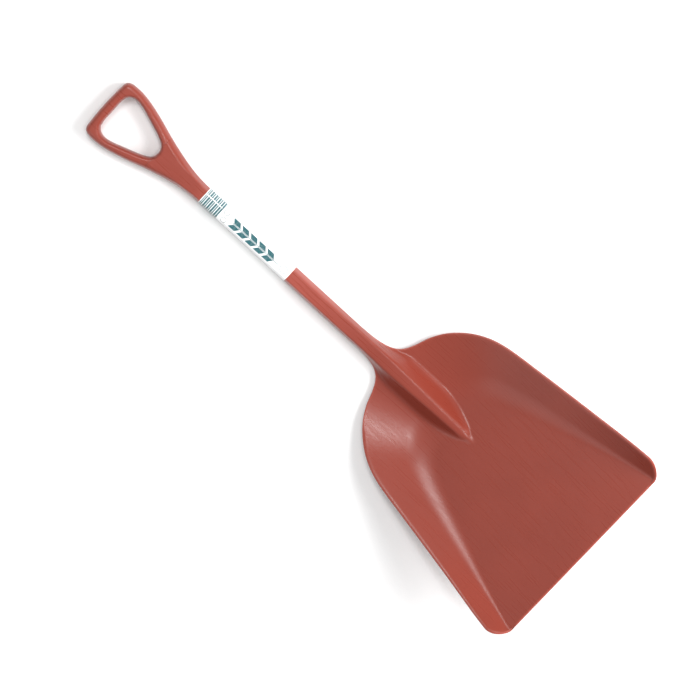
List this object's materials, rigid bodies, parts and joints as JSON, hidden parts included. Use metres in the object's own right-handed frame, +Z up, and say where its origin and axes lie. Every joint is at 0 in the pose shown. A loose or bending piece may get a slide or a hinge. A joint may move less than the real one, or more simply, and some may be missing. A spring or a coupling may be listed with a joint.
{
  "type": "grain scoop shovel",
  "caption": "Lightweight scoop shovel for grain and seed: a wide pan-shaped blade on a straight shaft with a D-shaped grip and a plain printed label.",
  "frame": {"origin": "centre of the bounding box at its lowest level, where the scoop's heel and grip rest on the ground", "axes": "+X across the blade, +Y from the blade's front edge to the grip, +Z up with the hollow side of the blade facing up"},
  "size_m": [0.3874, 1.0623, 0.162],
  "materials": {
    "polypropylene": "rust-red moulded polypropylene, satin with a fine grain",
    "label_film": "white film label printed in dark teal"
  },
  "bodies": {
    "root": {"blade": "polypropylene", "shaft": "polypropylene", "d_grip": "polypropylene", "label": "label_film"}
  },
  "joints": []
}
